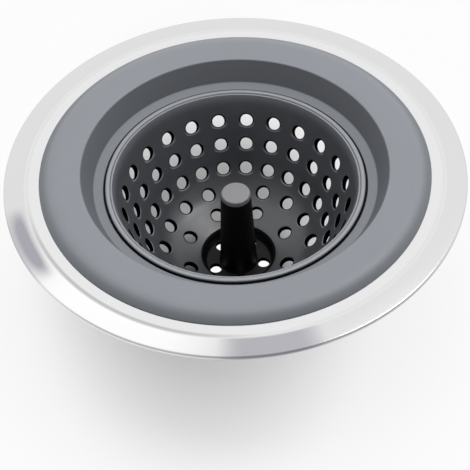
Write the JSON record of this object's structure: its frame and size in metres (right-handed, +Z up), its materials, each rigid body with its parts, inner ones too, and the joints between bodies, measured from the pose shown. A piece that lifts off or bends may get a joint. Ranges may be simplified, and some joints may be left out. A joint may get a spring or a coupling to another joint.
{
  "type": "sink strainer",
  "caption": "Round sink strainer: a steel rim and soft grey ring sit in the drain, and a perforated basket with a black centre post lifts out to be emptied.",
  "frame": {"origin": "centre of the foot's underside, on the strainer's axis, where it stands on a table", "axes": "+Z up along the strainer's axis, +X to the right and +Y away in the picture's view"},
  "size_m": [0.1128, 0.1128, 0.0393],
  "materials": {
    "stainless": "satin, spun",
    "soft_grey": "matt, soft moulded",
    "basket_grey": "fine moulded texture",
    "band_grey": "matt, soft moulded",
    "black_plastic": "satin moulded",
    "cap_grey": "matt moulded",
    "screw_steel": "bright"
  },
  "bodies": {
    "ring": {"steel_rim": "stainless", "soft_ring": "soft_grey"},
    "basket": {"basket": "basket_grey", "rim_band": "band_grey"},
    "handle": {"hub": "black_plastic", "post": "black_plastic", "post_cap": "cap_grey", "post_screw": "screw_steel"}
  },
  "joints": [
    {"name": "basket_lift", "type": "slide", "parent": "ring", "child": "basket", "axis": [0, 0, 1], "range_m": [0, 0.045]},
    {"name": "post_turn", "type": "hinge", "parent": "basket", "child": "handle", "pos_m": [0, 0, 0.0031], "axis": [0, 0, 1], "continuous": true}
  ]
}
